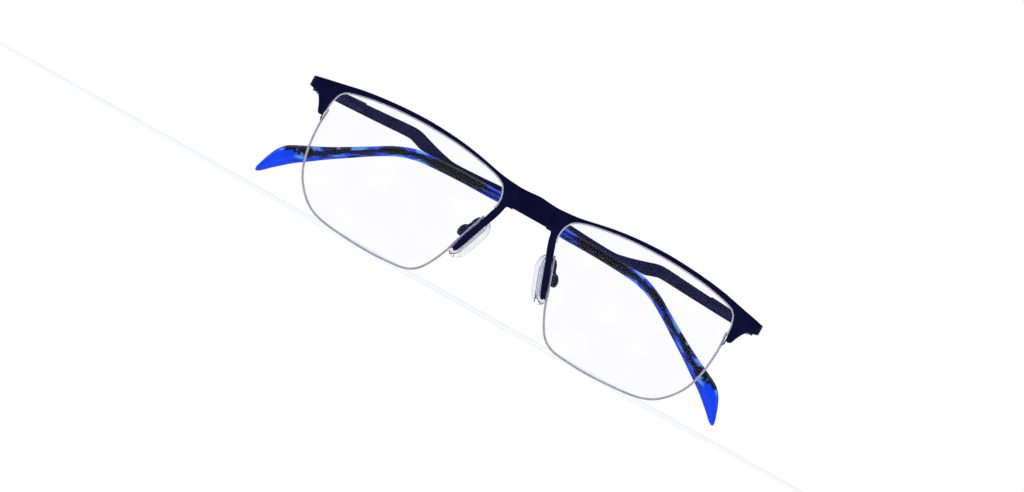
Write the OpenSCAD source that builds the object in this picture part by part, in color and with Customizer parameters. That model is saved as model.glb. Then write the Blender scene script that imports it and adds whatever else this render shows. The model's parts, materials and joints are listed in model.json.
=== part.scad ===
// Half rim eyeglasses, folded. Millimetres, +Z up, +Y towards the wearer, +X to the viewer's right.

/* [Front] */
// Radius of the ball that the lenses and rims lie on
lens_curve_r = 125; // [120:1:130]
// Thickness of the lenses
lens_t = 1.8; // [1.6:0.1:2]
// Depth of the metal rims, front to back
rim_t = 1.9; // [1.7:0.1:2.1]
// Diameter of the nylon cord under each lens
cord_d = 0.56; // [0.4:0.02:0.6]

/* [Temples] */
// Thickness of the metal blades
blade_t = 1.3; // [1.1:0.1:1.4]
// Angle by which the outer folded temple stands off
outer_fold = 4; // [3.8:0.1:4.5]
// Outer diameter of the hinge knuckles
knuckle_d = 2.4; // [2.2:0.1:2.4]

/* [Nose pads] */
// Height of a pad along its long axis
pad_h = 13.5; // [12:0.5:14]
// Width of a pad
pad_w = 7; // [6:0.5:7]
// Thickness of a pad at its middle
pad_t = 2.6; // [2.4:0.1:2.8]

/* [Output] */
// One sub-part, or all of them

/* [Hidden] */
$fn = 48;
sides = ["left", "right"];
depth_shift = -8.25;      // brings the middle of the depth to zero
ball = [24.1, 120.64, 36.14];
ball_mid = lens_curve_r - 1;
hinge_x = 65.4;
hinge_y = 8;
hinge_z = 32.3;
blade_in = 3.06 - blade_t;
pitch = 3.75;             // the blades rise this much from the hinge
steps = 4;

navy = [0.09, 0.09, 0.25];
soft_navy = [0.2, 0.21, 0.34];
steel = [0.75, 0.75, 0.78];

// edge of a lens, seen from the front, from the temple side over the top
lens_pts = [
  [60.85, 27.7], [60.6, 30.4], [59.6, 33.1], [57.2, 34.45], [50.5, 35.9], [43, 36.7],
  [35.3, 36.95], [27, 36.65], [20.2, 35.8], [14.2, 34.6], [10.9, 33.1], [9.5, 30.6],
  [9.5, 27.6], [11.1, 22.3], [13.4, 15.7], [15.5, 9.4], [18.6, 3.7], [22.2, 1.15],
  [28, 0.35], [35.3, 0.2], [44.4, 0.76], [50.5, 2], [54.8, 4.75], [58.4, 9.4],
  [60.3, 15], [61.1, 22]
];
// top edge of a rim, from the bridge out to the tab
brow_pts = [
  [5.08, 35.02], [7, 35.07], [12, 35.58], [20.1, 37.2], [27, 38.15], [35.3, 38.62],
  [43, 38.4], [50.5, 37.71], [55.6, 36.95], [60.7, 35.88], [66, 34.8]
];
// underside of the tab and the prong that grips the lens
prong_pts = [[66, 30.8], [65.26, 30.4], [64.5, 29.3], [63.8, 28], [63.2, 26.5], [62.7, 25.95], [62, 25.85]];
// nose side of the nasal arm, from its tip up to the lug
arm_pts = [[13.5, 11.6], [12.9, 11.75], [11.98, 13.6], [10.7, 17.1], [9.4, 20.7], [8.2, 23.7], [7.4, 26], [6.9, 28.67]];

// blade and strip of a temple: distance from the hinge, height
blade_top = [
  [0.15, 33.35], [6.4, 33.75], [13, 34.2], [20, 34.7], [26.8, 35.2], [29.5, 35], [32, 34.25],
  [35.4, 33.25], [38.4, 32.5], [41.5, 32.05], [48.5, 32.3], [55, 32.7], [59, 32.75], [62, 32.6]
];
blade_low = [
  [62, 31.3], [59, 31.45], [55, 31.35], [48.5, 30.95], [41.5, 30.7], [38, 30.65], [34.5, 30.75],
  [31.5, 30.7], [28.8, 31.55], [26.5, 31.9], [18, 31.45], [6, 30.9], [0.15, 30.75]
];
tip_top = [
  [62.5, 33.3], [66, 33], [70, 32.2], [75, 31.4], [87.7, 31.3], [95.9, 30.9], [100.9, 30.2], [106, 28.25],
  [111, 25.3], [121.2, 19.5], [128.8, 15.7], [131.3, 14.35], [133.6, 11.3], [135.3, 7], [135.8, 5.2]
];
tip_low = [
  [135.4, 4.4], [134.4, 4.7], [131.4, 7.5], [126.3, 11.75], [121.2, 15.4], [111, 22.05],
  [106, 25.1], [100.9, 27.1], [95.9, 27.85], [87.7, 28.3], [75, 28.5], [70, 29.4], [66, 30.3], [62.5, 30.6]
];
core_mid = [
  [62, 31.95], [66, 31.65], [70, 30.8], [75, 29.95], [87.7, 29.8], [95.9, 29.4],
  [100.9, 28.65], [106, 26.7], [111, 23.7], [121.2, 17.45], [125, 15.1]
];
// tip seen from above: distance from the hinge, depth
tip_in = [[62.4, 1.55], [70, 1.25], [80, 1.2], [105, 1.2], [118, 1.05], [126, 0.6], [132, 0], [136.6, -0.6]];
tip_out = [[136.6, 1.3], [132, 2.6], [126, 3.3], [118, 3.6], [105, 3.6], [80, 3.6], [70, 3.55], [62.4, 3.3]];

pad_at = [10.8, 5.4, 16.3];
pad_lean = 20;
pad_splay = 30;
rock_x = 2.4;
pad_wire = [
  [10.05, -0.72, 20.9], [10.4, 0.5, 21.9], [11.4, 1.8, 22.3], [12.2, 2.9, 21.3],
  [12.7, 3.3, 19.9], [13.5, 3.3, 18.8], [14.22, 3.28, 17.75]
];

function turn(a, b, c, d, t) =
  0.5 * (2 * b + (c - a) * t + (2 * a - 5 * b + 4 * c - d) * t * t + (3 * b - a - 3 * c + d) * t * t * t);
function closed_curve(p, k) = let (n = len(p))
  [for (i = [0:n - 1]) for (j = [0:k - 1]) turn(p[(i + n - 1) % n], p[i], p[(i + 1) % n], p[(i + 2) % n], j / k)];
function open_curve(p, k) = let (n = len(p)) concat(
  [for (i = [0:n - 2]) for (j = [0:k - 1]) turn(p[max(i - 1, 0)], p[i], p[i + 1], p[min(i + 2, n - 1)], j / k)],
  [p[n - 1]]);
function grown(p, d) = let (n = len(p))
  [for (i = [0:n - 1]) let (t = p[(i + 1) % n] - p[(i + n - 1) % n]) p[i] + d * [t[1], -t[0]] / norm(t)];
function beside(p, d) = let (n = len(p))
  [for (i = [0:n - 1]) let (t = p[min(i + 1, n - 1)] - p[max(i - 1, 0)]) p[i] + d * [t[1], -t[0]] / norm(t)];
function backwards(p) = [for (i = [len(p) - 1:-1:0]) p[i]];
function part_of(p, a, b) = [for (i = [a:b]) p[(i + len(p)) % len(p)]];

lens_edge = closed_curve(lens_pts, steps);
rim_first = -1;
rim_last = 14 * steps + 2;

// point on the ball of radius r, at x and z of the front view
function on_ball(q, r) =
  [q[0], ball[1] - sqrt(r * r - pow(q[0] - ball[0], 2) - pow(q[1] - ball[2], 2)), q[1]];

// round bar along a path, with a fixed sideways direction
module bar_along(path, r, n, away) {
  m = len(path);
  rings = [for (i = [0:m - 1])
    let (t = path[min(i + 1, m - 1)] - path[max(i - 1, 0)], s = cross(t, away), u = cross(s, t))
    for (k = [0:n - 1]) path[i] + r * (cos(360 * k / n) * s / norm(s) + sin(360 * k / n) * u / norm(u))];
  walls = [for (i = [0:m - 2]) for (k = [0:n - 1])
    [i * n + k, i * n + (k + 1) % n, (i + 1) * n + (k + 1) % n, (i + 1) * n + k]];
  ends = [[for (k = [n - 1:-1:0]) k], [for (k = [0:n - 1]) (m - 1) * n + k]];
  polyhedron(rings, concat(walls, ends));
}

// flat shape in the front view, cut out of a ball shell
module front_shape(p, r_out, r_in) {
  intersection() {
    translate([0, 14, 0]) rotate([90, 0, 0]) linear_extrude(26) polygon(p);
    difference() {
      translate(ball) sphere(r_out, $fn = 120);
      translate(ball) sphere(r_in, $fn = 120);
    }
  }
}

module on_side(side) {
  translate([0, depth_shift, 0]) mirror([side == "left" ? 1 : 0, 0, 0]) children();
}

// folded temple: x runs from the hinge to the tip, y is depth, both from the hinge axis
module on_temple(side) {
  on_side(side)
    translate([hinge_x, hinge_y, 0])
      rotate([0, 0, side == "left" ? -outer_fold : 0])
        mirror([1, 0, 0]) children();
}

// along the spring axis, z runs away from the hinge
module on_plunger(side) {
  on_temple(side) translate([0, 0, hinge_z]) rotate([0, 90 - pitch, 0]) children();
}

module on_pad(side) {
  on_side(side) translate(pad_at) rotate([0, -pad_lean, 0]) rotate([0, 0, -pad_splay]) children();
}

module side_shape(p, near, far) {
  translate([0, far, 0]) rotate([90, 0, 0]) linear_extrude(far - near) polygon(p);
}

module bridge() {
  color(navy) translate([0, depth_shift, 0]) intersection() {
    translate([0, 2, 0]) rotate([90, 0, 0]) linear_extrude(8)
      polygon(concat(
        open_curve([[5.06, 35.02], [3.5, 35.08], [1.8, 35.22], [0, 35.37], [-1.8, 35.22], [-3.5, 35.08], [-5.06, 35.02]], 3),
        [[-5.06, 28.98], [5.06, 28.98]]));
    translate([0, 21.55, 26]) difference() {
      cylinder(h = 12, r = 25, $fn = 96);
      translate([0, 0, -1]) cylinder(h = 14, r = 25 - rim_t, $fn = 96);
    }
  }
}

module rim(side) {
  color(navy) on_side(side) union() {
    front_shape(concat(
      open_curve(brow_pts, 3),
      open_curve(prong_pts, 2),
      part_of(grown(lens_edge, 0.45), rim_first, rim_last),
      open_curve(arm_pts, 2),
      [[5.08, 28.67]]), lens_curve_r + 0.1, lens_curve_r + 0.1 - rim_t);
    // the tab turns back towards the hinge
    intersection() {
      translate([0, 12, 0]) rotate([90, 0, 0]) linear_extrude(14)
        polygon([[65.4, 30.5], [66, 30.8], [68.46, 31.4], [68.46, 34.26], [65.4, 34.9]]);
      translate([0, 0, 29]) linear_extrude(8)
        polygon(concat(
          open_curve([[65.4, 2.75], [66.3, 2.95], [67.3, 3.45], [68.05, 4.25], [68.4, 5.2], [68.46, 6.2]], 3),
          [[68.46, hinge_y - 0.02], [67.12, hinge_y - 0.02]],
          open_curve([[67.12, 6.2], [66.95, 5.55], [66.4, 4.95], [65.4, 4.5]], 3)));
    }
  }
}

module lens(side) {
  color([0.8, 0.82, 0.9, 0.35]) on_side(side) difference() {
    front_shape(lens_edge, lens_curve_r - 0.1, lens_curve_r - 0.1 - lens_t);
    // groove all round the edge for the cord and the liner
    intersection() {
      translate([0, 13, 0]) rotate([90, 0, 0]) linear_extrude(24) difference() {
        polygon(grown(lens_edge, 2));
        polygon(grown(lens_edge, -0.5));
      }
      difference() {
        translate(ball) sphere(ball_mid + 0.34, $fn = 120);
        translate(ball) sphere(ball_mid - 0.34, $fn = 120);
      }
    }
  }
}

module liner(side) {
  first = 3;
  last = 12 * steps + 1;
  color([0.82, 0.8, 0.88]) on_side(side) union() {
    front_shape(concat(
      part_of(grown(lens_edge, 0.42), first, last),
      backwards(part_of(grown(lens_edge, 0.03), first, last))), ball_mid + 0.7, ball_mid - 0.7);
    front_shape(concat(
      part_of(grown(lens_edge, 0.2), first, last),
      backwards(part_of(grown(lens_edge, -0.42), first, last))), ball_mid + 0.26, ball_mid - 0.26);
  }
}

module lens_cord(side) {
  run = part_of(grown(lens_edge, -0.1), 12 * steps + 3, len(lens_edge) + 2);
  color([0.66, 0.65, 0.72]) on_side(side)
    bar_along([for (q = run) on_ball(q, ball_mid)], cord_d / 2, 8, [0, 1, 0]);
}

// two outer knuckles on a leaf, fixed inside the tab
module hinge_leaf(side) {
  color(soft_navy) on_side(side) difference() {
    union() {
      translate([66.35, 5.8, 30.75]) cube([0.55, 0.7, 3.1]);
      for (z = [hinge_z - 1.75, hinge_z + 0.85]) {
        translate([hinge_x, hinge_y, z]) cylinder(h = 0.9, d = knuckle_d);
        translate([hinge_x, hinge_y - 1.7, z]) cube([1.66, 1.7, 0.9]);
      }
    }
    translate([hinge_x, hinge_y, 28]) cylinder(h = 8, r = 0.53);
  }
}

module hinge_screw(side) {
  color(steel) on_side(side) translate([hinge_x, hinge_y, hinge_z]) difference() {
    union() {
      translate([0, 0, -2.1]) cylinder(h = 3.9, r = 0.5);
      translate([0, 0, 1.77]) cylinder(h = 0.45, r = 0.95);
    }
    translate([-1.5, -0.12, 2]) cube([3, 0.24, 1]);
  }
}

module pad_arm(side) {
  color(soft_navy) on_side(side) bar_along(open_curve(pad_wire, 3), 0.42, 8, [0.6, 0.2, -1]);
}

module pad_box(side) {
  color(soft_navy) on_pad(side) difference() {
    union() {
      translate([3.2, -1.3, -1.5]) cube([0.8, 2.6, 3]);
      for (y = [-1.3, 0.8]) translate([1.95, y, -1.3]) cube([1.4, 0.5, 2.6]);
    }
    translate([rock_x, 3, 0]) rotate([90, 0, 0]) cylinder(h = 6, r = 0.46);
  }
}

module pad_screw(side) {
  color(steel) on_pad(side) translate([rock_x, 0, 0]) rotate([-90, 0, 0]) difference() {
    union() {
      translate([0, 0, -1.7]) cylinder(h = 3.2, r = 0.43);
      translate([0, 0, -1.72]) cylinder(h = 0.4, r = 0.7);
    }
    translate([-1, -0.1, -2]) cube([2, 0.2, 0.5]);
  }
}

module pad(side) {
  color([0.9, 0.92, 0.96, 0.6]) on_pad(side) intersection() {
    translate([pad_t / 2, 0, 0]) rotate([0, -90, 0]) linear_extrude(pad_t) union() {
      for (x = [-1, 1]) translate([x * (pad_h - pad_w) / 2, 0]) circle(d = pad_w, $fn = 64);
      square([pad_h - pad_w, pad_w], center = true);
    }
    translate([22 - pad_t / 2, 0, 0]) sphere(22, $fn = 120);
  }
}

// backing plate and stem of the pad, turning on the pad screw
module pad_stem(side) {
  color(steel) on_pad(side) difference() {
    union() {
      translate([pad_t / 2 + 0.02, -1.6, -3]) cube([0.3, 3.2, 6]);
      translate([pad_t / 2 + 0.2, -0.7, -0.6]) cube([rock_x - pad_t / 2 - 0.2, 1.4, 1.2]);
      translate([rock_x, 0.7, 0]) rotate([90, 0, 0]) cylinder(h = 1.4, r = 0.68);
    }
    translate([rock_x, 3, 0]) rotate([90, 0, 0]) cylinder(h = 6, r = 0.47);
  }
}

// eye on the hinge screw, with its plunger and collar inside the housing
module hinge_eye(side) {
  color(steel) difference() {
    union() {
      on_temple(side) translate([0, 0, hinge_z - 0.8]) cylinder(h = 1.6, d = knuckle_d);
      on_plunger(side) translate([0, 0, 0.6]) cylinder(h = 9.4, r = 0.4);
      on_plunger(side) translate([0, 0, 9.5]) cylinder(h = 0.8, r = 0.74);
    }
    on_temple(side) translate([0, 0, 28]) cylinder(h = 8, r = 0.55);
  }
}

module spring(side) {
  turns = 7;
  n = 10;
  coil = [for (i = [0:turns * n]) [0.6 * cos(360 * i / n), 0.6 * sin(360 * i / n), 3.45 + 5.8 * i / (turns * n)]];
  color([0.6, 0.6, 0.63]) on_plunger(side) bar_along(coil, 0.11, 6, [0, 0, 1]);
}

module spring_housing(side) {
  color(soft_navy) on_plunger(side) difference() {
    intersection() {
      translate([-1.32, -1.15, 1.7]) cube([2.64, blade_in + 1.13, 11.1]);
      translate([0, 1.9, 1.7]) cylinder(h = 12, r = 3.1);
      translate([0, 0, 8.4]) rotate([0, 0, 0]) sphere(7.2, $fn = 96);
    }
    translate([0, 0, 1]) cylinder(h = 3, r = 0.45);
    translate([0, 0, 3.3]) cylinder(h = 12, r = 0.84);
  }
}

module spring_plug(side) {
  color(steel) on_plunger(side) translate([0, 0, 12.1]) cylinder(h = 0.6, r = 0.82);
}

module temple_blade(side) {
  color(soft_navy) on_temple(side)
    side_shape(concat(open_curve(blade_top, 2), open_curve(blade_low, 2)), blade_in, 3.06);
}

module core_wire(side) {
  color([0.12, 0.12, 0.2]) on_temple(side) side_shape(concat(
    beside(open_curve(core_mid, 2), -0.6),
    backwards(beside(open_curve(core_mid, 2), 0.6))), 1.95, 2.85);
}

module temple_tip(side) {
  color([0.1, 0.35, 1]) on_temple(side) difference() {
    intersection() {
      side_shape(concat(open_curve(tip_top, 2), open_curve(tip_low, 2)), -3, 6);
      translate([0, 0, 2]) linear_extrude(34)
        polygon(concat(open_curve(tip_in, 2), open_curve(tip_out, 2)));
    }
    side_shape(concat(
      beside(open_curve(core_mid, 2), -0.63),
      backwards(beside(open_curve(core_mid, 2), 0.63))), 1.92, 2.88);
  }
}

bridge();
for (side = sides) {
  rim(side);
  lens(side);
  liner(side);
  lens_cord(side);
  hinge_leaf(side);
  hinge_screw(side);
  pad_arm(side);
  pad_box(side);
  pad_screw(side);
  pad(side);
  pad_stem(side);
  hinge_eye(side);
  spring(side);
  spring_housing(side);
  spring_plug(side);
  temple_blade(side);
  core_wire(side);
  temple_tip(side);
}
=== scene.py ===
import bpy
import bmesh
import json
import math
from mathutils import Matrix, Vector, noise
from mathutils.geometry import tessellate_polygon


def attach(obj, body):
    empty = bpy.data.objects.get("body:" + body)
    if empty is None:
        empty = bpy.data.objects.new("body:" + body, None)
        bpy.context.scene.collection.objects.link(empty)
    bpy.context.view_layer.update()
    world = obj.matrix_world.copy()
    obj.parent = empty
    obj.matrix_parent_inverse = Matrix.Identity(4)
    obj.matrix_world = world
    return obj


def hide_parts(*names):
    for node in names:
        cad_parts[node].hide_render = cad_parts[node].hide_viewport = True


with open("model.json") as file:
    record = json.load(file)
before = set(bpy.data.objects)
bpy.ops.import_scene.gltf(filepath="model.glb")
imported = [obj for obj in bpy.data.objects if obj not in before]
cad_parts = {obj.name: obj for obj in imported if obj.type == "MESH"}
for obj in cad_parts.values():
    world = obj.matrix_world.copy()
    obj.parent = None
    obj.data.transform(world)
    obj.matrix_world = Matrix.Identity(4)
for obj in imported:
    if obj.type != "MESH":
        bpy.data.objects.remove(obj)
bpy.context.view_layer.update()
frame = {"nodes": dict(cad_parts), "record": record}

mm = 0.001
bodyOfNode = {n: b for b, nodes in frame["record"]["behaviour"]["bodies"].items() for n in nodes}
slotOfNode = {s["node"]: s["material_slot"] for s in frame["record"]["subparts"]}
sides = ("left", "right")  # as a viewer in front sees them

# what the whole frame hangs on, in mm, the same as in the solid model
layout = {
    "depthShift": -8.25,
    "ball": (24.1, 120.64, 36.14),  # centre of the ball that each lens and rim lies on
    "rimRadius": 125.1,
    "lensRadius": 124.9,
    "grooveRadius": 124.0,
    "hinge": (65.4, 8.0, 32.3),
    "outerFold": 4.0,  # degrees by which the outer temple stands off
    "bladeInner": 1.76,
}


def turn(a, b, c, d, t):
    # point at share t of the smooth curve between b and c, with a before them and d after
    def along(p, q, r, s):
        bend, twist = 2 * p - 5 * q + 4 * r - s, 3 * q - p - 3 * r + s
        return 0.5 * (2 * q + (r - p) * t + bend * t * t + twist * t ** 3)
    return tuple(along(*values) for values in zip(a, b, c, d))


def smoothLoop(points, steps):
    n = len(points)
    return [turn(points[i - 1], points[i], points[(i + 1) % n], points[(i + 2) % n], j / steps)
            for i in range(n) for j in range(steps)]


def smoothRun(points, steps):
    n = len(points)
    run = [turn(points[max(i - 1, 0)], points[i], points[i + 1], points[min(i + 2, n - 1)], j / steps)
           for i in range(n - 1) for j in range(steps)]
    return run + [tuple(points[-1])]


def grown(loop, out):
    # moves each point of a closed, anticlockwise loop outwards
    n = len(loop)
    made = []
    for i, p in enumerate(loop):
        before, after = loop[i - 1], loop[(i + 1) % n]
        tx, tz = after[0] - before[0], after[1] - before[1]
        size = math.hypot(tx, tz) or 1
        made.append((p[0] + out * tz / size, p[1] - out * tx / size))
    return made


def between(x, low, high):
    t = min(max((x - low) / (high - low), 0), 1)
    return t * t * (3 - 2 * t)


def ballDepth(x, z, radius):
    bx, by, bz = layout["ball"]
    return by - math.sqrt(radius ** 2 - (x - bx) ** 2 - (z - bz) ** 2)


def onSide(side, x, y, z):
    return Vector((-x if side == "left" else x, y + layout["depthShift"], z)) * mm


def onTemple(side, u, depth, z):
    # u runs from the hinge along the folded temple, depth away from the front
    hx, hy, _ = layout["hinge"]
    a = math.radians(layout["outerFold"] if side == "left" else 0)
    x = hx - u * math.cos(a) + depth * math.sin(a)
    y = hy + u * math.sin(a) + depth * math.cos(a)
    return onSide(side, x, y, z)


def linear(hexColour):
    parts = [int(hexColour[i:i + 2], 16) / 255 for i in (1, 3, 5)]
    return tuple(c / 12.92 if c <= 0.04045 else ((c + 0.055) / 1.055) ** 2.4 for c in parts) + (1.0,)


def perMm(size):
    # noise scale for features of this many millimetres, on coordinates in metres
    return 1000 / size


def addNode(tree, kind, values=None, links=None, **settings):
    node = tree.nodes.new(kind)
    for name, value in settings.items():
        setattr(node, name, value)
    for socket, value in (values or {}).items():
        node.inputs[socket].default_value = value
    for socket, source in (links or {}).items():
        tree.links.new(source, node.inputs[socket])
    return node


def newMaterial(name):
    made = bpy.data.materials.new(name)
    made.use_nodes = True
    made.node_tree.nodes.clear()
    return made, made.node_tree


def ramp(tree, source, stops, interpolation="LINEAR"):
    node = addNode(tree, "ShaderNodeValToRGB", links={"Fac": source})
    node.color_ramp.interpolation = interpolation
    while len(node.color_ramp.elements) < len(stops):
        node.color_ramp.elements.new(0.5)
    for element, (place, colour) in zip(node.color_ramp.elements, stops):
        element.position, element.color = place, colour
    return node.outputs["Color"]


def platedMetal(name, look):
    # stainless sheet with a satin navy plating: dark, metallic, with a fine bead-blasted grain
    made, tree = newMaterial(name)
    where = addNode(tree, "ShaderNodeTexCoord").outputs["Object"]
    cloud = addNode(tree, "ShaderNodeTexNoise", {"Scale": perMm(look["cloudMm"]), "Detail": 3.0},
                    {"Vector": where})
    peel = addNode(tree, "ShaderNodeTexNoise", {"Scale": perMm(look["peelMm"]), "Detail": 2.0},
                   {"Vector": where})
    colour = ramp(tree, cloud.outputs["Fac"], [(0.35, linear(look["low"])), (0.65, linear(look["high"]))])
    satin = {"From Min": 0.3, "From Max": 0.7, "To Min": look["rough"] - 0.05, "To Max": look["rough"] + 0.07}
    rough = addNode(tree, "ShaderNodeMapRange", satin, {"Value": peel.outputs["Fac"]})
    bump = addNode(tree, "ShaderNodeBump", {"Strength": look["bump"], "Distance": 0.00002},
                   {"Height": peel.outputs["Fac"]})
    shader = addNode(tree, "ShaderNodeBsdfPrincipled", {"Metallic": 1.0},
                     {"Base Color": colour, "Roughness": rough.outputs["Result"],
                      "Normal": bump.outputs["Normal"]})
    addNode(tree, "ShaderNodeOutputMaterial", links={"Surface": shader.outputs["BSDF"]})
    return made


def machinedSteel(name):
    # stainless screws and springs: turned metal, bright with faint rings of tool marks
    made, tree = newMaterial(name)
    where = addNode(tree, "ShaderNodeTexCoord").outputs["Object"]
    marks = addNode(tree, "ShaderNodeTexNoise", {"Scale": perMm(0.12), "Detail": 2.0}, {"Vector": where})
    colour = ramp(tree, marks.outputs["Fac"], [(0.3, linear("#8f9096")), (0.7, linear("#c9cad0"))])
    turned = {"From Min": 0.3, "From Max": 0.7, "To Min": 0.2, "To Max": 0.36}
    rough = addNode(tree, "ShaderNodeMapRange", turned, {"Value": marks.outputs["Fac"]})
    shader = addNode(tree, "ShaderNodeBsdfPrincipled", {"Metallic": 1.0},
                     {"Base Color": colour, "Roughness": rough.outputs["Result"]})
    addNode(tree, "ShaderNodeOutputMaterial", links={"Surface": shader.outputs["BSDF"]})
    return made


def clearLensPlastic(name):
    # polished demo lens with an anti-reflection coat: almost invisible face on, glossier towards grazing
    made, tree = newMaterial(name)
    where = addNode(tree, "ShaderNodeTexCoord").outputs["Object"]
    haze = addNode(tree, "ShaderNodeTexNoise", {"Scale": perMm(9.0), "Detail": 2.0}, {"Vector": where})
    tint = ramp(tree, haze.outputs["Fac"], [(0.3, (0.985, 0.985, 0.995, 1)), (0.7, (0.995, 0.995, 1.0, 1))])
    through = addNode(tree, "ShaderNodeBsdfTransparent", links={"Color": tint})
    gloss = addNode(tree, "ShaderNodeBsdfGlossy", {"Roughness": 0.03, "Color": linear("#f4f4ff")})
    edge = addNode(tree, "ShaderNodeFresnel", {"IOR": 1.5})
    coated = addNode(tree, "ShaderNodeMath", {1: 0.12}, {0: edge.outputs["Fac"]}, operation="MULTIPLY")
    shader = addNode(tree, "ShaderNodeMixShader",
                     links={0: coated.outputs["Value"], 1: through.outputs["BSDF"], 2: gloss.outputs["BSDF"]})
    addNode(tree, "ShaderNodeOutputMaterial", links={"Surface": shader.outputs["Shader"]})
    return made


def nylon(name, look):
    # extruded nylon: milky and a little lilac, with a soft shine along its length
    made, tree = newMaterial(name)
    where = addNode(tree, "ShaderNodeTexCoord").outputs["Object"]
    drawn = addNode(tree, "ShaderNodeTexNoise", {"Scale": perMm(1.4), "Detail": 2.0}, {"Vector": where})
    colour = ramp(tree, drawn.outputs["Fac"], [(0.3, linear(look["low"])), (0.7, linear(look["high"]))])
    shader = addNode(tree, "ShaderNodeBsdfPrincipled",
                     {"Roughness": look["rough"], "IOR": 1.53, "Transmission Weight": look["clear"]},
                     {"Base Color": colour})
    addNode(tree, "ShaderNodeOutputMaterial", links={"Surface": shader.outputs["BSDF"]})
    return made


def clearSilicone(name, look):
    # moulded silicone: water clear in the middle, with painted grey shade where the eye looks along its
    # rounded rim, standing in for the dark surroundings seen in that edge
    made, tree = newMaterial(name)
    where = addNode(tree, "ShaderNodeTexCoord").outputs["Object"]
    skin = addNode(tree, "ShaderNodeTexNoise", {"Scale": perMm(0.9), "Detail": 2.0}, {"Vector": where})
    colour = ramp(tree, skin.outputs["Fac"], [(0.3, linear(look["low"])), (0.7, linear(look["high"]))])
    bump = addNode(tree, "ShaderNodeBump", {"Strength": 0.12, "Distance": 0.00003},
                   {"Height": skin.outputs["Fac"]})
    # painted grey shade: the "rim" colour is mixed in towards grazing angles, in place of dark surroundings
    # refracted in the edge
    grazing = addNode(tree, "ShaderNodeLayerWeight", {"Blend": look["edgeShadeBlend"]})
    rim = addNode(tree, "ShaderNodeMix", {"B": linear(look["rim"])},
                  {"Factor": grazing.outputs["Facing"], "A": colour}, data_type="RGBA")
    shader = addNode(tree, "ShaderNodeBsdfPrincipled",
                     {"Roughness": look["rough"], "IOR": look["ior"], "Transmission Weight": 1.0},
                     {"Base Color": rim.outputs[2], "Normal": bump.outputs["Normal"]})
    addNode(tree, "ShaderNodeOutputMaterial", links={"Surface": shader.outputs["BSDF"]})
    return made


def mottledAcetate(name, look):
    # block cut cellulose acetate, tumbled and polished: deep blue with black and pale streaks along the grain
    made, tree = newMaterial(name)
    along = addNode(tree, "ShaderNodeUVMap", uv_map="grain").outputs["UV"]
    dark = addNode(tree, "ShaderNodeAttribute", attribute_name="darkStreak").outputs["Fac"]
    pale = addNode(tree, "ShaderNodeAttribute", attribute_name="paleStreak").outputs["Fac"]
    solid = addNode(tree, "ShaderNodeAttribute", attribute_name="solidEnd").outputs["Fac"]
    # the grain map is in millimetres, so stretching it draws the streaks out lengthwise
    drawn = addNode(tree, "ShaderNodeMapping", {"Scale": (0.28, 1.6, 1.0)}, {"Vector": along})
    streak = addNode(tree, "ShaderNodeTexNoise", {"Scale": 1.0, "Detail": 4.0, "Roughness": 0.55},
                     {"Vector": drawn.outputs["Vector"]})
    blues = [(0.3, linear(look["deep"])), (0.5, linear(look["blue"])), (0.72, linear(look["light"]))]
    blue = ramp(tree, streak.outputs["Fac"], blues)
    black = ramp(tree, streak.outputs["Fac"], [(0.3, linear(look["black"])), (0.75, linear(look["brown"]))])
    lit = addNode(tree, "ShaderNodeMix", {"B": linear(look["pale"])}, {"Factor": pale, "A": blue},
                  data_type="RGBA")
    mixed = addNode(tree, "ShaderNodeMix", links={"Factor": dark, "A": lit.outputs[2], "B": black},
                    data_type="RGBA")
    end = addNode(tree, "ShaderNodeMix", {"B": linear(look["end"])}, {"Factor": solid, "A": mixed.outputs[2]},
                  data_type="RGBA")
    shader = addNode(tree, "ShaderNodeBsdfPrincipled",
                     {"Roughness": 0.17, "IOR": 1.48, "Specular IOR Level": 0.2},
                     {"Base Color": end.outputs[2]})
    addNode(tree, "ShaderNodeOutputMaterial", links={"Surface": shader.outputs["BSDF"]})
    return made


platingLooks = {
    "front": {"low": "#0f1232", "high": "#15183c", "rough": 0.38, "bump": 0.3, "cloudMm": 3, "peelMm": 0.2},
    "temple": {"low": "#25274a", "high": "#2e3052", "rough": 0.42, "bump": 0.3, "cloudMm": 4, "peelMm": 0.2},
    "hinge": {"low": "#1e2142", "high": "#282b4e", "rough": 0.34, "bump": 0.2, "cloudMm": 2, "peelMm": 0.18},
    "core": {"low": "#141222", "high": "#1e1b2e", "rough": 0.45, "bump": 0.2, "cloudMm": 2, "peelMm": 0.2},
}
nylonLooks = {
    "liner": {"low": "#cdc8dc", "high": "#e6e2f0", "rough": 0.35, "clear": 0.1},
    "cord": {"low": "#a8a6b8", "high": "#bdbbca", "rough": 0.35, "clear": 0.08},
}
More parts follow.
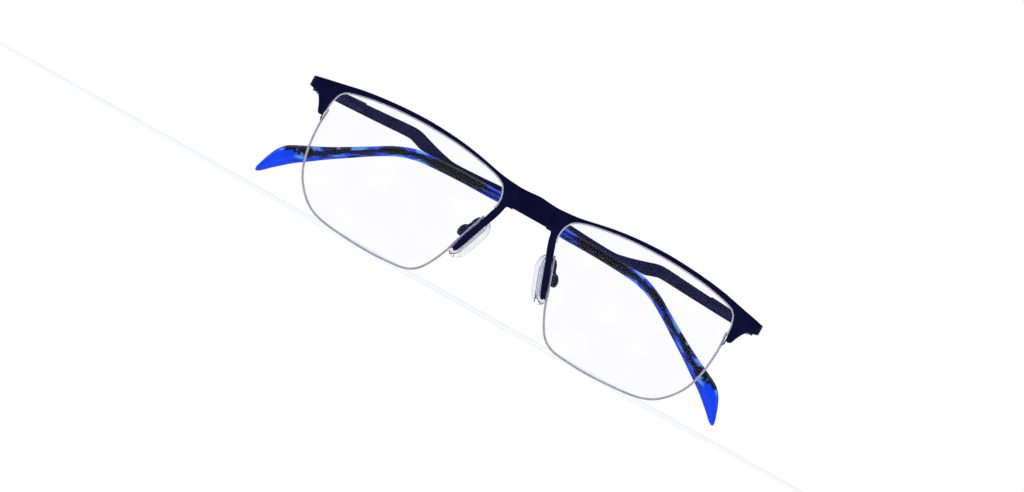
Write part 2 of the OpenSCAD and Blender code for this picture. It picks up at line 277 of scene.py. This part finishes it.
# "rim" is the painted grey shade for each pad's grazing edge, and edgeShadeBlend sets how far in it reaches
padLooks = {
    "silicone": {"low": "#f0f1f5", "high": "#fcfcff", "rim": "#83838f", "edgeShadeBlend": 0.32, "rough": 0.05,
                 "ior": 1.41},
    "insert": {"low": "#e2e4ea", "high": "#f2f3f8", "rim": "#80808c", "edgeShadeBlend": 0.4, "rough": 0.1,
               "ior": 1.58},
}
acetateLook = {"deep": "#0a1f9c", "blue": "#0b44ea", "light": "#2a6cf2", "pale": "#5c9cf4",
               "black": "#07060d", "brown": "#1b1924", "end": "#0846ff"}
materials = {
    "front_metal": platedMetal("frontSatinPlating", platingLooks["front"]),
    "temple_metal": platedMetal("templeSatinPlating", platingLooks["temple"]),
    "hinge_metal": platedMetal("hingeSatinPlating", platingLooks["hinge"]),
    "core_metal": platedMetal("coreWirePlating", platingLooks["core"]),
    "steel": machinedSteel("turnedStainlessSteel"),
    "lens": clearLensPlastic("polishedLensPlastic"),
    "liner": nylon("milkyNylonLiner", nylonLooks["liner"]),
    "nylon_cord": nylon("nylonMonofilament", nylonLooks["cord"]),
    "silicone": clearSilicone("clearSilicone", padLooks["silicone"]),
    "tip_acetate": mottledAcetate("mottledAcetate", acetateLook),
}
padCoreStuff = clearSilicone("padInsertPolycarbonate", padLooks["insert"])
print("materials made:", len(materials) + 1)


def finishMesh(name, bm, material, body, replaced=(), flatAbove=None):
    bmesh.ops.recalc_face_normals(bm, faces=bm.faces)
    mesh = bpy.data.meshes.new(name)
    bm.to_mesh(mesh)
    bm.free()
    mesh.materials.append(material)
    mesh.shade_smooth()
    piece = bpy.data.objects.new(name, mesh)
    bpy.context.scene.collection.objects.link(piece)
    if flatAbove:
        mesh.set_sharp_from_angle(angle=math.radians(flatAbove))
    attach(piece, body)
    if replaced:
        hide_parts(*replaced)
    return piece


def roundedRings(thick, radius, steps=4):
    # (inset, depth) down a rounded edge of a plate, front to back
    angles = [math.pi / 2 * k / steps for k in range(steps + 1)]
    front = [(radius * (1 - math.sin(a)), radius * (1 - math.cos(a))) for a in angles]
    return front + [(i, thick - d) for i, d in reversed(front)]


def cutAcross(bm, low, high, step):
    # extra edges every step, so that a flat sheet can be bent smoothly
    for axis in (0, 1):
        normal = Vector((1, 0, 0)) if axis == 0 else Vector((0, 1, 0))
        for k in range(1, int((high[axis] - low[axis]) / step) + 1):
            geometry = bm.verts[:] + bm.edges[:] + bm.faces[:]
            bmesh.ops.bisect_plane(bm, geom=geometry, dist=1e-5, plane_co=normal * (low[axis] + k * step),
                                   plane_no=normal)


def plate(name, outline, place, thick, radius, material, body, replaced, step=1.1):
    # flat shape with rounded edges, cut into strips and laid on whatever surface place describes
    bm = bmesh.new()
    rings = []
    for inset, depth in roundedRings(thick, radius):
        rings.append([bm.verts.new((x, z, depth)) for x, z in grown(outline, -inset)])
    n = len(outline)
    for a, b in zip(rings, rings[1:]):
        for i in range(n):
            bm.faces.new((a[i], a[(i + 1) % n], b[(i + 1) % n], b[i]))
    flat = grown(outline, -radius)
    for tri in tessellate_polygon([[Vector((x, z, 0)) for x, z in flat]]):
        for ring in (rings[0], rings[-1]):
            bm.faces.new([ring[i] for i in tri])
    low, high = ([end(p[k] for p in outline) for k in (0, 1)] for end in (min, max))
    cutAcross(bm, low, high, step)
    for vert in bm.verts:
        vert.co = place(*vert.co)
    piece = finishMesh(name, bm, material, body, replaced)
    piece.modifiers.new("evenGloss", "WEIGHTED_NORMAL")
    return piece


def bar(name, path, radius, around, material, body, replaced):
    # smooth round wire along a path of points in metres
    bm = bmesh.new()
    rings = []
    count = len(path)
    side = None
    for i, p in enumerate(path):
        t = (path[min(i + 1, count - 1)] - path[max(i - 1, 0)]).normalized()
        if side is None:
            side = t.orthogonal().normalized()
        side = (side - t * side.dot(t)).normalized()
        up = t.cross(side)
        rings.append([bm.verts.new(p + radius * (math.cos(a) * side + math.sin(a) * up))
                      for a in [2 * math.pi * k / around for k in range(around)]])
    for a, b in zip(rings, rings[1:]):
        for k in range(around):
            bm.faces.new((a[k], a[(k + 1) % around], b[(k + 1) % around], b[k]))
    for ring in (rings[0], rings[-1]):
        bm.faces.new(ring)
    return finishMesh(name, bm, material, body, replaced, flatAbove=50)


def softened(node, width, segments=2):
    # a copy of a machined piece with its sharp edges broken, as tumbling leaves them
    source = frame["nodes"][node]
    bm = bmesh.new()
    bm.from_mesh(source.data)
    bm.transform(source.matrix_world)
    bmesh.ops.remove_doubles(bm, verts=bm.verts, dist=2e-6)
    bmesh.ops.dissolve_limit(bm, angle_limit=math.radians(1.5), verts=bm.verts, edges=bm.edges)
    sharp = [e for e in bm.edges if len(e.link_faces) == 2 and e.calc_face_angle(0) > math.radians(35)]
    bmesh.ops.bevel(bm, geom=sharp, offset=width * mm, segments=segments, affect="EDGES", profile=0.5,
                    clamp_overlap=True, offset_type="OFFSET")
    return finishMesh(node + "_softened", bm, materials[slotOfNode[node]], bodyOfNode[node], (node,),
                      flatAbove=40)


lensShape = {
    "edge": [(60.85, 27.7), (60.6, 30.4), (59.6, 33.1), (57.2, 34.45), (50.5, 35.9), (43, 36.7),
             (35.3, 36.95), (27, 36.65), (20.2, 35.8), (14.2, 34.6), (10.9, 33.1), (9.5, 30.6),
             (9.5, 27.6), (11.1, 22.3), (13.4, 15.7), (15.5, 9.4), (18.6, 3.7), (22.2, 1.15), (28, 0.35),
             (35.3, 0.2), (44.4, 0.76), (50.5, 2), (54.8, 4.75), (58.4, 9.4), (60.3, 15), (61.1, 22)],
    "steps": 10,
    "middle": (35.2, 18.6),
    "thick": 1.8,
    "edgeRound": 0.12,
    "grooveDeep": 0.5,
    "rows": 16,  # rings of faces from the middle out
}
lensEdge = smoothLoop(lensShape["edge"], lensShape["steps"])


def lensRun(out, first, last):
    # stretch of the lens edge, between numbered points of its shape, moved outwards
    k = lensShape["steps"]
    loop = grown(lensEdge, out)
    return [loop[i % len(loop)] for i in range(round(first * k), round(last * k) + 1)]


rimShape = {
    "brow": [(5.1, 35.0), (7, 35.07), (12, 35.58), (20.1, 37.2), (27, 38.15), (35.3, 38.62), (43, 38.4),
             (50.5, 37.71), (55.6, 36.95), (60.7, 35.88), (66, 34.8), (68, 34.42), (69.8, 34.27)],
    "tabUnder": [(69.8, 31.4), (68, 31.22), (66, 30.8), (65.26, 30.4), (64.5, 29.3), (63.8, 28), (63.2, 26.5),
                 (62.75, 25.98), (62.05, 25.85), (61.6, 26.2)],
    "arm": [(13.95, 12.1), (13.5, 11.65), (12.95, 11.8), (11.98, 13.6), (10.7, 17.1), (9.4, 20.7),
            (8.2, 23.7), (7.4, 26), (6.9, 28.2)],
    "tabTop": 34.26,
    "tabLow": 31.4,
    "tabCorner": 0.9,
    # how far outside the lens edge, and between which of its points: close in where the cord runs,
    # further out where the liner lies between
    "linerSide": (0.45, -0.55, 12.1),
    "cordSide": (0.24, 12.4, 14.55),
    "armEnd": [(6.6, 28.66), (5.1, 28.7)],
    "tabPlan": [(65.4, 2.6), (66.3, 2.98), (67.3, 3.5), (68.02, 4.25), (68.38, 5.2), (68.45, 6.2),
                (68.45, 7.96)],
    "thick": 1.88,
    "edgeRound": 0.24,
}
tabRun = smoothRun(rimShape["tabPlan"], 8)
tabLengths = [0]
for a, b in zip(tabRun, tabRun[1:]):
    tabLengths.append(tabLengths[-1] + math.dist(a, b))
tabStart = rimShape["tabPlan"][0][0]


def tabPoint(length):
    # place and inward direction on the tab's outer face, seen from above
    length = min(max(length, 0), tabLengths[-1])
    i = max(k for k in range(len(tabLengths) - 1) if tabLengths[k] <= length + 1e-9)
    t = (length - tabLengths[i]) / (tabLengths[i + 1] - tabLengths[i])
    (ax, ay), (bx, by) = tabRun[i], tabRun[i + 1]
    run = Vector((bx - ax, by - ay)).normalized()
    return Vector((ax + t * (bx - ax), ay + t * (by - ay))), Vector((-run.y, run.x))


def rimPlace(side):
    def place(s, z, depth):
        if s <= tabStart:
            return onSide(side, s, ballDepth(s, z, layout["rimRadius"] - depth), z)
        along = s - tabStart
        at, inward = tabPoint(along)
        # the sheet's cut edge turns from straight back to square with the tab
        blend = between(along, 0, 2.2)
        way = Vector((0, 1)).lerp(inward, blend).normalized()
        at = at + way * depth * (1.06 - 0.36 * between(along, 0, 3.5))
        start = ballDepth(tabStart, z, layout["rimRadius"]) - rimShape["tabPlan"][0][1]
        return onSide(side, at.x, at.y + start * (1 - blend), z)
    return place


def makeRim(side):
    tabEnd = tabStart + tabLengths[-1]
    corner = tabEnd - rimShape["tabCorner"]
    top, low = rimShape["tabTop"], rimShape["tabLow"]
    curvesEnd = rimShape["tabUnder"][0][0]
    steps = [k * (corner - curvesEnd) / 4 for k in range(1, 4)]
    # clockwise from the front: along the brow to the tab's end, back under it to the prong, over the
    # lens, down its nasal side and up the arm
    outline = smoothRun(rimShape["brow"], 6) + [(curvesEnd + d, top) for d in steps]
    outline += [(corner, top - 0.01), (tabEnd, top - 0.04), (tabEnd, low + 0.04), (corner, low)]
    outline += [(corner - d, low) for d in steps] + smoothRun(rimShape["tabUnder"], 4)
    outline += lensRun(*rimShape["linerSide"]) + lensRun(*rimShape["cordSide"])
    outline += smoothRun(rimShape["arm"], 5) + rimShape["armEnd"]
    outline = [p for i, p in enumerate(outline) if math.dist(p, outline[i - 1]) > 0.02]
    outline.reverse()
    plate(f"{side}_brow_rim", outline, rimPlace(side), rimShape["thick"], rimShape["edgeRound"],
          materials["front_metal"], "front", (f"{side}_rim",), step=0.7)


bridgeShape = {
    "top": [(5.3, 34.99), (3.5, 35.08), (1.8, 35.22), (0, 35.35), (-1.8, 35.22), (-3.5, 35.08),
            (-5.3, 34.99)],
    "low": 29.0,
    "half": 5.3,  # runs a little way behind the ends of the rims
    "radius": 24.96,
    "middle": 21.55,
    "thick": 1.88,
}


def makeBridge():
    half = bridgeShape["half"]
    low = [(half * (k / 7 - 1), bridgeShape["low"]) for k in range(15)]
    outline = smoothRun(bridgeShape["top"], 4) + low

    def place(x, z, depth):
        radius = bridgeShape["radius"] - depth
        return onSide("right", x, bridgeShape["middle"] - math.sqrt(radius ** 2 - x * x), z)
    plate("bridge_plate", outline, place, bridgeShape["thick"], rimShape["edgeRound"],
          materials["front_metal"], "front", ("bridge",))


def makeLens(side):
    # faces follow the ball all over; the edge has a groove for cord and liner
    front, back = layout["lensRadius"], layout["lensRadius"] - lensShape["thick"]
    mid, deep, soft = layout["grooveRadius"], lensShape["grooveDeep"], lensShape["edgeRound"]
    edge = [(-soft, front), (-0.02, front - 0.1), (0, front - 0.2), (0, mid + 0.34), (-deep, mid + 0.3),
            (-deep, mid - 0.3), (0, mid - 0.34), (0, back + 0.2), (-0.02, back + 0.1), (-soft, back)]
    cx, cz = lensShape["middle"]
    rows = lensShape["rows"]
    shares = [1 - k / rows for k in range(1, rows)]
    bm = bmesh.new()

    def ring(loop, radius):
        return [bm.verts.new(onSide(side, x, ballDepth(x, z, radius), z)) for x, z in loop]

    rings = []
    inner = grown(lensEdge, -soft)
    for share in reversed(shares):
        rings.append(ring([(cx + share * (x - cx), cz + share * (z - cz)) for x, z in inner], front))
    for out, radius in edge:
        rings.append(ring(grown(lensEdge, out), radius))
    for share in shares:
        rings.append(ring([(cx + share * (x - cx), cz + share * (z - cz)) for x, z in inner], back))
    n = len(lensEdge)
    for a, b in zip(rings, rings[1:]):
        for i in range(n):
            bm.faces.new((a[i], a[(i + 1) % n], b[(i + 1) % n], b[i]))
    for loop, radius in ((rings[0], front), (rings[-1], back)):
        middle = bm.verts.new(onSide(side, cx, ballDepth(cx, cz, radius), cz))
        for i in range(n):
            bm.faces.new((loop[i], loop[(i + 1) % n], middle))
    finishMesh(f"{side}_clear_lens", bm, materials["lens"], "front", (f"{side}_lens",), flatAbove=35)


linerShape = {"out": 0.42, "in": 0.02, "rise": 0.7, "thick": 1.4, "edgeRound": 0.09, "first": -0.1,
              "last": 12.2}


def makeLiner(side):
    outer = lensRun(linerShape["out"], linerShape["first"], linerShape["last"])
    inner = lensRun(linerShape["in"], linerShape["first"], linerShape["last"])
    top = layout["grooveRadius"] + linerShape["rise"]

    def place(x, z, depth):
        return onSide(side, x, ballDepth(x, z, top - depth), z)
    plate(f"{side}_rim_liner", outer + inner[::-1], place, linerShape["thick"], linerShape["edgeRound"],
          materials["liner"], "front", (f"{side}_liner",))


cordShape = {"out": -0.1, "radius": 0.31, "around": 12, "first": 12.8, "last": 26.12}


def makeLensCord(side):
    run = lensRun(cordShape["out"], cordShape["first"], cordShape["last"])
    path = [onSide(side, x, ballDepth(x, z, layout["grooveRadius"]), z) for x, z in run]
    bar(f"{side}_nylon_cord", path, cordShape["radius"] * mm, cordShape["around"],
        materials["nylon_cord"], "front", (f"{side}_lens_cord",))


makeBridge()
for side in sides:
    makeRim(side)
    makeLens(side)
    makeLiner(side)
    makeLensCord(side)
print("front made")


padShape = {
    "at": (10.8, 5.4, 16.3),
    "lean": 20.0,
    "splay": 30.0,
    "high": 13.5,
    "wide": 7.0,
    "thick": 2.6,
    "dome": 22.0,  # radius of the hollow face
    "insets": (3.3, 2.4, 1.5, 0.9),
    "lensRound": 0.55,
    "noseRound": (0.6, 0.5),  # inwards, in depth
    "wire": [(10.05, -0.72, 20.9), (10.4, 0.5, 21.9), (11.4, 1.8, 22.3), (12.2, 2.9, 21.3), (12.7, 3.3, 19.9),
             (13.5, 3.3, 18.8), (14.22, 3.28, 17.75)],
    "wireRadius": 0.48,
    "wireAround": 14,
}


def onPad(side, x, y, z):
    # x is the pad's thickness, away from the nose; y its width, back; z its height
    turned = Matrix.Rotation(math.radians(-padShape["lean"]), 3, "Y") @ (
        Matrix.Rotation(math.radians(-padShape["splay"]), 3, "Z") @ Vector((x, y, z)))
    at = padShape["at"]
    return onSide(side, at[0] + turned.x, at[1] + turned.y, at[2] + turned.z)


def capsule(high, wide, inset, around=20):
    r, half = wide / 2 - inset, (high - wide) / 2
    angles = [math.pi * k / around for k in range(around + 1)]
    top = [(r * math.cos(a), half + r * math.sin(a)) for a in angles]
    low = [(-y, -z) for y, z in top]
    return top + low


def makePad(side):
    half = padShape["thick"] / 2
    bm = bmesh.new()
    rings = []

    def nose(y, z):
        return padShape["dome"] - half - math.sqrt(padShape["dome"] ** 2 - y * y - z * z)

    # rings across one face, round the edge and back across the other: inset, face, drop below that face
    angles = [math.pi / 2 * k / 5 for k in range(6)]
    insets, soft = padShape["insets"], padShape["lensRound"]
    inwards, deep = padShape["noseRound"]
    plan = [(inset, "lens", 0) for inset in insets]
    plan += [(soft * (1 - math.sin(a)), "lens", soft * (1 - math.cos(a))) for a in angles]
    plan += [(inwards * (1 - math.sin(a)), "nose", deep * (1 - math.cos(a))) for a in reversed(angles)]
    plan += [(inset, "nose", 0) for inset in reversed(insets)]
    for inset, face, drop in plan:
        ring = []
        for y, z in capsule(padShape["high"], padShape["wide"], inset):
            x = half - drop if face == "lens" else nose(y, z) + drop
            ring.append(bm.verts.new(onPad(side, x, y, z)))
        rings.append(ring)
    n = len(rings[0])
    for a, b in zip(rings, rings[1:]):
        for i in range(n):
            bm.faces.new((a[i], a[(i + 1) % n], b[(i + 1) % n], b[i]))
    for ring in (rings[0], rings[-1]):
        bm.faces.new(ring)
    finishMesh(f"{side}_silicone_pad", bm, materials["silicone"], f"{side}_pad_rocker", (f"{side}_pad",))


insertShape = {"outer": (9.6, 3.4), "window": (6.4, 1.2), "around": 12, "faces": (0.55, 0.1)}


def makePadInsert(side):
    # stiff plate moulded inside the silicone, with a window along its middle
    bm = bmesh.new()
    outer, window = (capsule(*insertShape[part], 0, insertShape["around"]) for part in ("outer", "window"))
    n = len(outer)
    (fo, fi), (bo, bi) = ([[bm.verts.new(onPad(side, x, y, z)) for y, z in loop] for loop in (outer, window)]
                          for x in insertShape["faces"])
    for i in range(n):
        j = (i + 1) % n
        bm.faces.new((fo[i], fo[j], fi[j], fi[i]))
        bm.faces.new((bo[i], bi[i], bi[j], bo[j]))
        bm.faces.new((fo[i], bo[i], bo[j], fo[j]))
        bm.faces.new((fi[i], fi[j], bi[j], bi[i]))
    piece = finishMesh(f"{side}_pad_insert", bm, padCoreStuff, f"{side}_pad_rocker", flatAbove=40)


knobShape = {"at": (3.95, 0.0, 0.2), "half": (0.85, 1.75, 1.9), "around": 24, "rows": 12}


def makePadKnob(side):
    # domed cap brazed on the back of the pad's box
    bm = bmesh.new()
    around, rows = knobShape["around"], knobShape["rows"]
    rings = []
    for r in range(1, rows):
        tilt = math.pi * r / rows
        ring = []
        for k in range(around):
            turned = 2 * math.pi * k / around
            way = (math.cos(tilt), math.sin(tilt) * math.cos(turned), math.sin(tilt) * math.sin(turned))
            spot = [c + h * w for c, h, w in zip(knobShape["at"], knobShape["half"], way)]
            ring.append(bm.verts.new(onPad(side, *spot)))
        rings.append(ring)
    for a, b in zip(rings, rings[1:]):
        for k in range(around):
            bm.faces.new((a[k], a[(k + 1) % around], b[(k + 1) % around], b[k]))
    for ring in (rings[0], rings[-1]):
        bm.faces.new(ring)
    piece = finishMesh(f"{side}_pad_knob", bm, materials["hinge_metal"], "front")


padEdges = {"pad_stem": 0.07, "pad_screw": 0.05}  # node: width of its broken edges

for side in sides:
    makePad(side)
    makePadInsert(side)
    wire = [onSide(side, *p) for p in smoothRun(padShape["wire"], 8)]
    bar(f"{side}_pad_wire", wire, padShape["wireRadius"] * mm, padShape["wireAround"],
        materials["hinge_metal"], "front", (f"{side}_pad_arm",))
    softened(f"{side}_pad_box", 0.2, segments=3)
    makePadKnob(side)
    for node, width in padEdges.items():
        softened(f"{side}_{node}", width)
print("nose pads made")


hingeEdges = {"hinge_leaf": 0.1, "hinge_screw": 0.06, "hinge_eye": 0.08}

for side in sides:
    for node, width in hingeEdges.items():
        softened(f"{side}_{node}", width)
    softened(f"{side}_spring_housing", 0.34, segments=4)
    for node in ("spring", "spring_plug"):
        frame["nodes"][f"{side}_{node}"].data.materials.clear()
        frame["nodes"][f"{side}_{node}"].data.materials.append(materials["steel"])
print("hinges made")


bladeShape = {
    "top": [(0.17, 33.33), (6.4, 33.75), (13, 34.2), (20, 34.7), (26.8, 35.2), (29.5, 35), (32, 34.25),
            (35.4, 33.25), (38.4, 32.5), (41.5, 32.05), (48.5, 32.3), (55, 32.7), (59, 32.75),
            (61.98, 32.58)],
    "low": [(61.98, 31.32), (59, 31.45), (55, 31.35), (48.5, 30.95), (41.5, 30.7), (38, 30.65), (34.5, 30.75),
            (31.5, 30.7), (28.8, 31.55), (26.5, 31.9), (18, 31.45), (6, 30.9), (0.17, 30.77)],
    "thick": 1.3,
    "edgeRound": 0.2,
}


def makeBlade(side):
    outline = (smoothRun(bladeShape["top"], 8) + smoothRun(bladeShape["low"], 8))[::-1]

    def place(u, z, depth):
        return onTemple(side, u, layout["bladeInner"] + depth, z)
    plate(f"{side}_blade", outline, place, bladeShape["thick"], bladeShape["edgeRound"],
          materials["temple_metal"], f"{side}_temple", (f"{side}_temple_blade",))


tipShape = {
    # matching points along the tip's upper and lower edges: distance from the hinge, height
    "upper": [(62.55, 33.2), (66, 32.95), (70, 32.15), (75, 31.4), (81, 31.35), (87.7, 31.3), (95.9, 30.88),
              (101.2, 30.12), (106.4, 28.05), (111.4, 25.1), (116.7, 22.0), (121.8, 19.15), (127, 16.6),
              (129.8, 15.2), (131.5, 14.1), (133.05, 12.25), (134.2, 9.9), (135.05, 7.5), (135.6, 5.6),
              (135.62, 4.85)],
    "lower": [(62.55, 30.7), (66, 30.35), (70, 29.45), (75, 28.52), (81, 28.42), (87.7, 28.32), (95.9, 27.88),
              (100.6, 27.18), (105.3, 25.47), (109.9, 22.82), (115, 19.5), (119.7, 16.42), (123.8, 13.5),
              (127.3, 11.03), (130, 8.78), (132, 7.02), (133.4, 5.65), (134.5, 4.72), (135.2, 4.45),
              (135.45, 4.5)],
    "depth": [(62.4, 2.42, 0.8), (70, 2.4, 1.1), (80, 2.4, 1.18), (105, 2.4, 1.18), (118, 2.32, 1.24),
              (126, 1.95, 1.3), (132, 1.35, 1.2), (136.6, 0.4, 0.9)],
    "steps": 12,
    "around": 40,
    "squareness": 2.7,  # 2 would be an ellipse
}
# streaks of the cast block: distance along, height across from -1 to 1, half length, half height
darkStreaks = [
    (88, 0.2, 10.5, 0.62), (88, -0.5, 10, 0.5), (88, 0.8, 9, 0.35), (73, 0.3, 6, 0.3), (74, -0.45, 5, 0.24),
    (100, 0.05, 8, 0.42), (106.2, 0.35, 3.4, 0.55), (104.5, -0.15, 4.5, 0.45), (112, 0.0, 7.5, 0.36),
    (111.5, -0.45, 2.2, 0.22), (116.8, 0.55, 1.5, 0.6), (118.4, 0.1, 5, 0.36), (120.2, 0.75, 1.5, 0.3),
    (115.2, -0.75, 1.6, 0.25), (122.6, 0.05, 3.2, 0.36), (125.8, 0.45, 1.5, 0.62), (125.3, -0.15, 1.6, 0.4),
    (129.2, 0.8, 2.2, 0.34), (127.9, 0.25, 0.9, 0.25), (121.5, -0.5, 1.2, 0.2),
]
paleStreaks = [
    (98.4, 0.85, 1.8, 0.25), (98.0, -0.8, 2.2, 0.3), (104.4, -0.85, 2.4, 0.25), (114.2, 0.7, 2.2, 0.28),
    (118.6, 0.72, 1.0, 0.3), (122.4, 0.75, 1.1, 0.35), (124.2, 0.65, 0.8, 0.3), (127.2, 0.35, 1.0, 0.4),
    (127.3, -0.25, 1.3, 0.3), (118.3, -0.5, 1.3, 0.2), (131.5, 0.75, 1.2, 0.12),
]


def streakShare(streaks, u, v):
    # ragged ellipses, pulled about by noise drawn out along the grain
    wobble = Vector((u * 0.35, v * 2.2, 3.1))
    u2 = u + 1.1 * noise.noise(wobble)
    v2 = v + 0.22 * noise.noise(wobble * 2.1 + Vector((7, 3, 1)))
    best = 0
    for su, sv, du, dv in streaks:
        far = math.hypot((u2 - su) / du, (v2 - sv) / dv)
        best = max(best, 1 - between(far, 0.86, 1.12))
    return best


def makeTip(side):
    upper, lower = (smoothRun(tipShape[k], tipShape["steps"]) for k in ("upper", "lower"))
    depths = tipShape["depth"]
    around = tipShape["around"]
    bm = bmesh.new()
    grain = bm.loops.layers.uv.new("grain")
    rings, marks = [], []
    for top, low in zip(upper, lower):
        mu, mz = (top[0] + low[0]) / 2, (top[1] + low[1]) / 2
        hu, hz = (top[0] - low[0]) / 2, (top[1] - low[1]) / 2
        reach = math.hypot(hu, hz)
        k = max(i for i in range(len(depths) - 1) if depths[i][0] <= mu)
        t = between(mu, depths[k][0], depths[k + 1][0])
        middle, half = (depths[k][j] + t * (depths[k + 1][j] - depths[k][j]) for j in (1, 2))
        half = min(half, 0.25 + reach * 0.95)
        ring, mark = [], []
        for i in range(around):
            a = 2 * math.pi * i / around
            c, s = math.cos(a), math.sin(a)
            power = 2 / tipShape["squareness"]
            across = math.copysign(abs(s) ** power, s)
            out = math.copysign(abs(c) ** power, c)
            ring.append(bm.verts.new(onTemple(side, mu + across * hu, middle - out * half, mz + across * hz)))
            mark.append((mu, across, across * reach))
        rings.append(ring)
        marks.append(mark)
    faces = []
    for r in range(len(rings) - 1):
        for i in range(around):
            j = (i + 1) % around
            face = bm.faces.new((rings[r][i], rings[r][j], rings[r + 1][j], rings[r + 1][i]))
            for loop, (rr, ii) in zip(face.loops, ((r, i), (r, j), (r + 1, j), (r + 1, i))):
                u, _, w = marks[rr][ii]
                loop[grain].uv = (u, w + (20 if side == "left" else 0))
    bm.faces.new(rings[0])
    bm.faces.new(rings[-1])
    piece = finishMesh(f"{side}_acetate_tip", bm, materials["tip_acetate"], f"{side}_temple",
                       (f"{side}_temple_tip",), flatAbove=55)
    flat = [m for mark in marks for m in mark]
    dark = [streakShare(darkStreaks, u, v) * (1 - between(u, 130.6, 131.4)) for u, v, _ in flat]
    pale = [streakShare(paleStreaks, u, v) for u, v, _ in flat]
    # the solid end starts on a slant, and the streaks stay in front of it
    solid = [between(u + 1.2 * v, 127.2, 129.5) * (1 - 0.8 * p) * (1 - d)
             for (u, v, _), p, d in zip(flat, pale, dark)]
    for name, values in (("darkStreak", dark), ("paleStreak", pale), ("solidEnd", solid)):
        layer = piece.data.attributes.new(name, "FLOAT", "POINT")
        layer.data.foreach_set("value", values)


for side in sides:
    makeBlade(side)
    makeTip(side)
    frame["nodes"][f"{side}_core_wire"].data.materials.clear()
    frame["nodes"][f"{side}_core_wire"].data.materials.append(materials["core_metal"])
print("temples made")


floorShape = {"radius": 0.42, "sides": 96, "gap": 0.0002}  # metres; lies just under the part


def makeStage():
    # round pale floor
    bm = bmesh.new()
    bmesh.ops.create_circle(bm, cap_ends=True, segments=floorShape["sides"],
                            radius=floorShape["radius"])
    bmesh.ops.translate(bm, verts=bm.verts, vec=(0, 0, -floorShape["gap"]))
    mesh = bpy.data.meshes.new("studioFloor")
    bm.to_mesh(mesh)
    bm.free()
    made, tree = newMaterial("paintedFloor")
    where = addNode(tree, "ShaderNodeTexCoord").outputs["Object"]
    roller = addNode(tree, "ShaderNodeTexNoise", {"Scale": perMm(60), "Detail": 2.0}, {"Vector": where})
    colour = ramp(tree, roller.outputs["Fac"], [(0.3, linear("#f4f4f4")), (0.7, linear("#fafafa"))])
    shader = addNode(tree, "ShaderNodeBsdfPrincipled", {"Roughness": 0.9, "Specular IOR Level": 0.1},
                     {"Base Color": colour})
    addNode(tree, "ShaderNodeOutputMaterial", links={"Surface": shader.outputs["BSDF"]})
    mesh.materials.append(made)
    floor = bpy.data.objects.new("studio_floor", mesh)
    bpy.context.scene.collection.objects.link(floor)


lights = {
    # name: place, aim, width, height, watts
    "overheadSoftbox": ((0, -0.1, 1.3), (0, 0.05, 0), 1.8, 1.6, 17),
    "frontLeft": ((-0.9, -1.1, 0.9), (0, 0, 0.02), 0.6, 0.6, 4),
    "frontRight": ((1.0, -1.0, 0.6), (0, 0, 0.02), 0.4, 0.7, 2.5),
}


def makeLights():
    for name, (place, aim, wide, high, watts) in lights.items():
        data = bpy.data.lights.new(name, "AREA")
        data.shape, data.size, data.size_y, data.energy = "RECTANGLE", wide, high, watts
        lamp = bpy.data.objects.new(name, data)
        lamp.visible_camera = False
        lamp.location = place
        lamp.rotation_euler = (Vector(aim) - Vector(place)).to_track_quat("-Z", "Y").to_euler()
        bpy.context.scene.collection.objects.link(lamp)
    world = bpy.data.worlds.new("studioRoom")
    world.use_nodes = True
    tree = world.node_tree
    tree.nodes.clear()
    room = addNode(tree, "ShaderNodeBackground", {"Color": linear("#d4d6de"), "Strength": 0.5})
    seen = addNode(tree, "ShaderNodeBackground", {"Color": linear("#ffffff"), "Strength": 1.0})
    path = addNode(tree, "ShaderNodeLightPath")
    # what is seen straight on or through clear plastic is white
    clear = addNode(tree, "ShaderNodeMath", operation="MAXIMUM",
                    links={0: path.outputs["Is Camera Ray"], 1: path.outputs["Is Transmission Ray"]})
    mixed = addNode(tree, "ShaderNodeMixShader",
                    links={0: clear.outputs[0], 1: room.outputs[0], 2: seen.outputs[0]})
    addNode(tree, "ShaderNodeOutputWorld", links={"Surface": mixed.outputs[0]})
    bpy.context.scene.world = world


cameraSet = {
    "aim": (-0.40, 20.23),  # sideways and height, mm
    "planeY": -10.5,  # depth at which the framing is measured, mm
    "distance": 6000.0,
    "frameWidth": 272.4,
    "roll": 29.27,
    "sensorWidth": 36.0,
}


def makeCamera():
    data = bpy.data.cameras.new("frontCamera")
    data.sensor_width = cameraSet["sensorWidth"]
    data.lens = cameraSet["sensorWidth"] * cameraSet["distance"] / cameraSet["frameWidth"]
    data.clip_start, data.clip_end = 0.05, 20
    camera = bpy.data.objects.new("frontCamera", data)
    x, z = cameraSet["aim"]
    place = Vector((x, cameraSet["planeY"] - cameraSet["distance"], z)) * mm
    camera.matrix_world = (Matrix.Translation(place)
                           @ Matrix.Rotation(math.radians(90), 4, "X")
                           @ Matrix.Rotation(math.radians(cameraSet["roll"]), 4, "Z"))
    bpy.context.scene.collection.objects.link(camera)
    bpy.context.scene.camera = camera


makeStage()
makeLights()
makeCamera()
bpy.context.scene.view_settings.view_transform = "Standard"
print("stage made")

bpy.context.view_layer.update()
